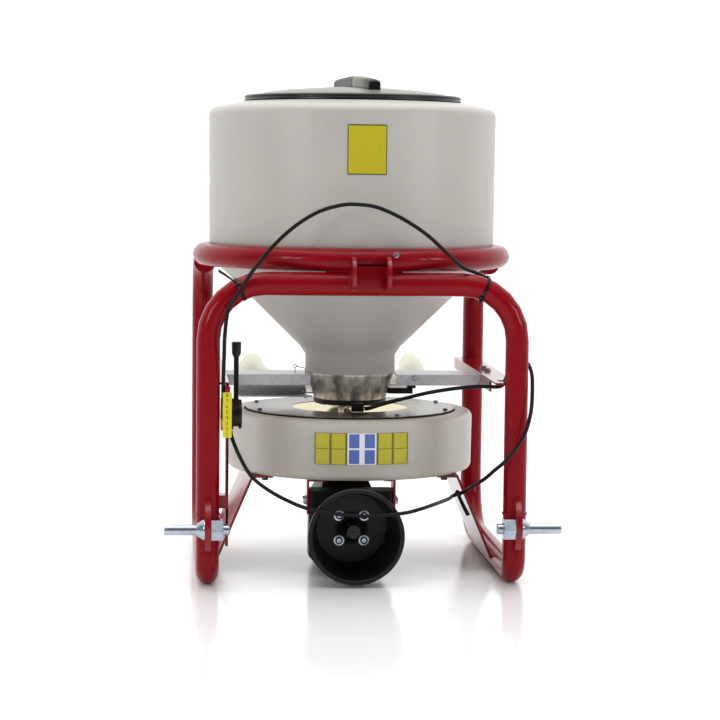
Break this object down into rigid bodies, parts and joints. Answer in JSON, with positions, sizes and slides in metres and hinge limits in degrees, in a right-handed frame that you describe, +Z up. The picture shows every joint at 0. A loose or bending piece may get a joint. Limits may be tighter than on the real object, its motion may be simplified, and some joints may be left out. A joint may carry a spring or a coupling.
{
  "type": "tractor-mounted powder spreader",
  "caption": "Three-point mounted duster: round powder tank over a shaft-driven fan in a red tube frame, with a metering lever and twin rear nozzles.",
  "frame": {"origin": "on the floor, midway between the two lower link pins' faces, under the axis of the tank", "axes": "+Z up, +Y to the rear, away from the tractor, +X to the right as seen from the tractor"},
  "size_m": [0.814, 0.9647, 1.0595],
  "materials": {
    "red_paint": "gloss powder coat",
    "zinc_plate": "bright zinc plate",
    "galvanised": "galvanised sheet",
    "bare_steel": "turned or rolled steel",
    "tank_plastic": "rotomoulded white polyethylene",
    "nozzle_plastic": "natural polyethylene",
    "black_plastic": "satin",
    "black_casting": "black enamel",
    "black_rubber": "matt",
    "brass": "turned",
    "yellow_plate": "satin"
  },
  "bodies": {
    "frame": {"front_arch": "red_paint", "side_tube_left": "red_paint", "side_tube_right": "red_paint", "hoop_ring": "red_paint", "top_link_ear_left": "red_paint", "top_link_ear_right": "red_paint", "lower_link_ear_left": "red_paint", "lower_link_ear_right": "red_paint", "lower_link_pin_left": "zinc_plate", "lower_link_pin_right": "zinc_plate", "lower_link_nut_left": "zinc_plate", "lower_link_nut_right": "zinc_plate", "side_rail_left": "red_paint", "side_rail_right": "red_paint", "wing_left": "galvanised", "wing_right": "galvanised", "collar_stay": "galvanised", "side_plate_left": "red_paint", "side_plate_right": "red_paint", "lever_post": "red_paint", "scale_plate": "yellow_plate", "control_box": "black_plastic", "lever_pin": "zinc_plate", "tank": "tank_plastic", "lid_seal": "black_rubber", "outlet_collar": "bare_steel", "collar_flange": "black_plastic", "valve_disc": "black_plastic", "shutter_pivot": "brass", "fan_housing": "tank_plastic", "plate_gasket": "black_rubber", "fan_cover_plate": "bare_steel", "gearbox_casing": "black_casting", "gearbox_rear_cover": "black_casting", "input_bearing_front": "bare_steel", "input_bearing_rear": "bare_steel", "output_bearing": "bare_steel", "shaft_shield": "black_plastic", "shield_bolt_low_left": "zinc_plate", "shield_bolt_low_right": "zinc_plate", "shield_bolt_top_left": "zinc_plate", "shield_bolt_top_right": "zinc_plate", "gearbox_bracket_left": "red_paint", "gearbox_bracket_right": "red_paint", "outlet_elbow": "nozzle_plastic", "outlet_tee": "nozzle_plastic", "outlet_nozzle_left": "nozzle_plastic", "outlet_nozzle_right": "nozzle_plastic", "cable_upper": "black_rubber", "cable_lower": "black_rubber", "cable_clamp": "black_plastic"},
    "lid_cap": {"lid": "black_plastic", "lid_grip": "black_plastic"},
    "drive": {"input_shaft": "bare_steel", "drive_gear": "bare_steel"},
    "fan": {"fan_shaft": "bare_steel", "fan_pinion": "bare_steel", "fan_wheel": "zinc_plate"},
    "lever": {"control_lever": "black_plastic"},
    "shutter": {"valve_shutter": "bare_steel"}
  },
  "joints": [
    {"name": "lid_turn", "type": "hinge", "parent": "frame", "child": "lid_cap", "pos_m": [0, 0, 1.0025], "axis": [0, 0, 1], "range_deg": [0, 90]},
    {"name": "drive_spin", "type": "hinge", "parent": "frame", "child": "drive", "pos_m": [-0.0135, 0, 0.106], "axis": [0, 1, 0], "continuous": true},
    {"name": "fan_spin", "type": "hinge", "parent": "frame", "child": "fan", "pos_m": [-0.0135, 0, 0.106], "axis": [0, 0, 1], "continuous": true},
    {"name": "lever_swing", "type": "hinge", "parent": "frame", "child": "lever", "pos_m": [-0.2594, -0.29, 0.3524], "axis": [1, 0, 0], "range_deg": [0, 80]},
    {"name": "shutter_turn", "type": "hinge", "parent": "frame", "child": "shutter", "pos_m": [0, 0, 0.345], "axis": [0, 0, 1], "range_deg": [-30, 0]}
  ],
  "couplings": [
    {"joint": "fan_spin", "follows": "drive_spin", "ratio": 3},
    {"joint": "shutter_turn", "follows": "lever_swing", "ratio": -0.375}
  ]
}
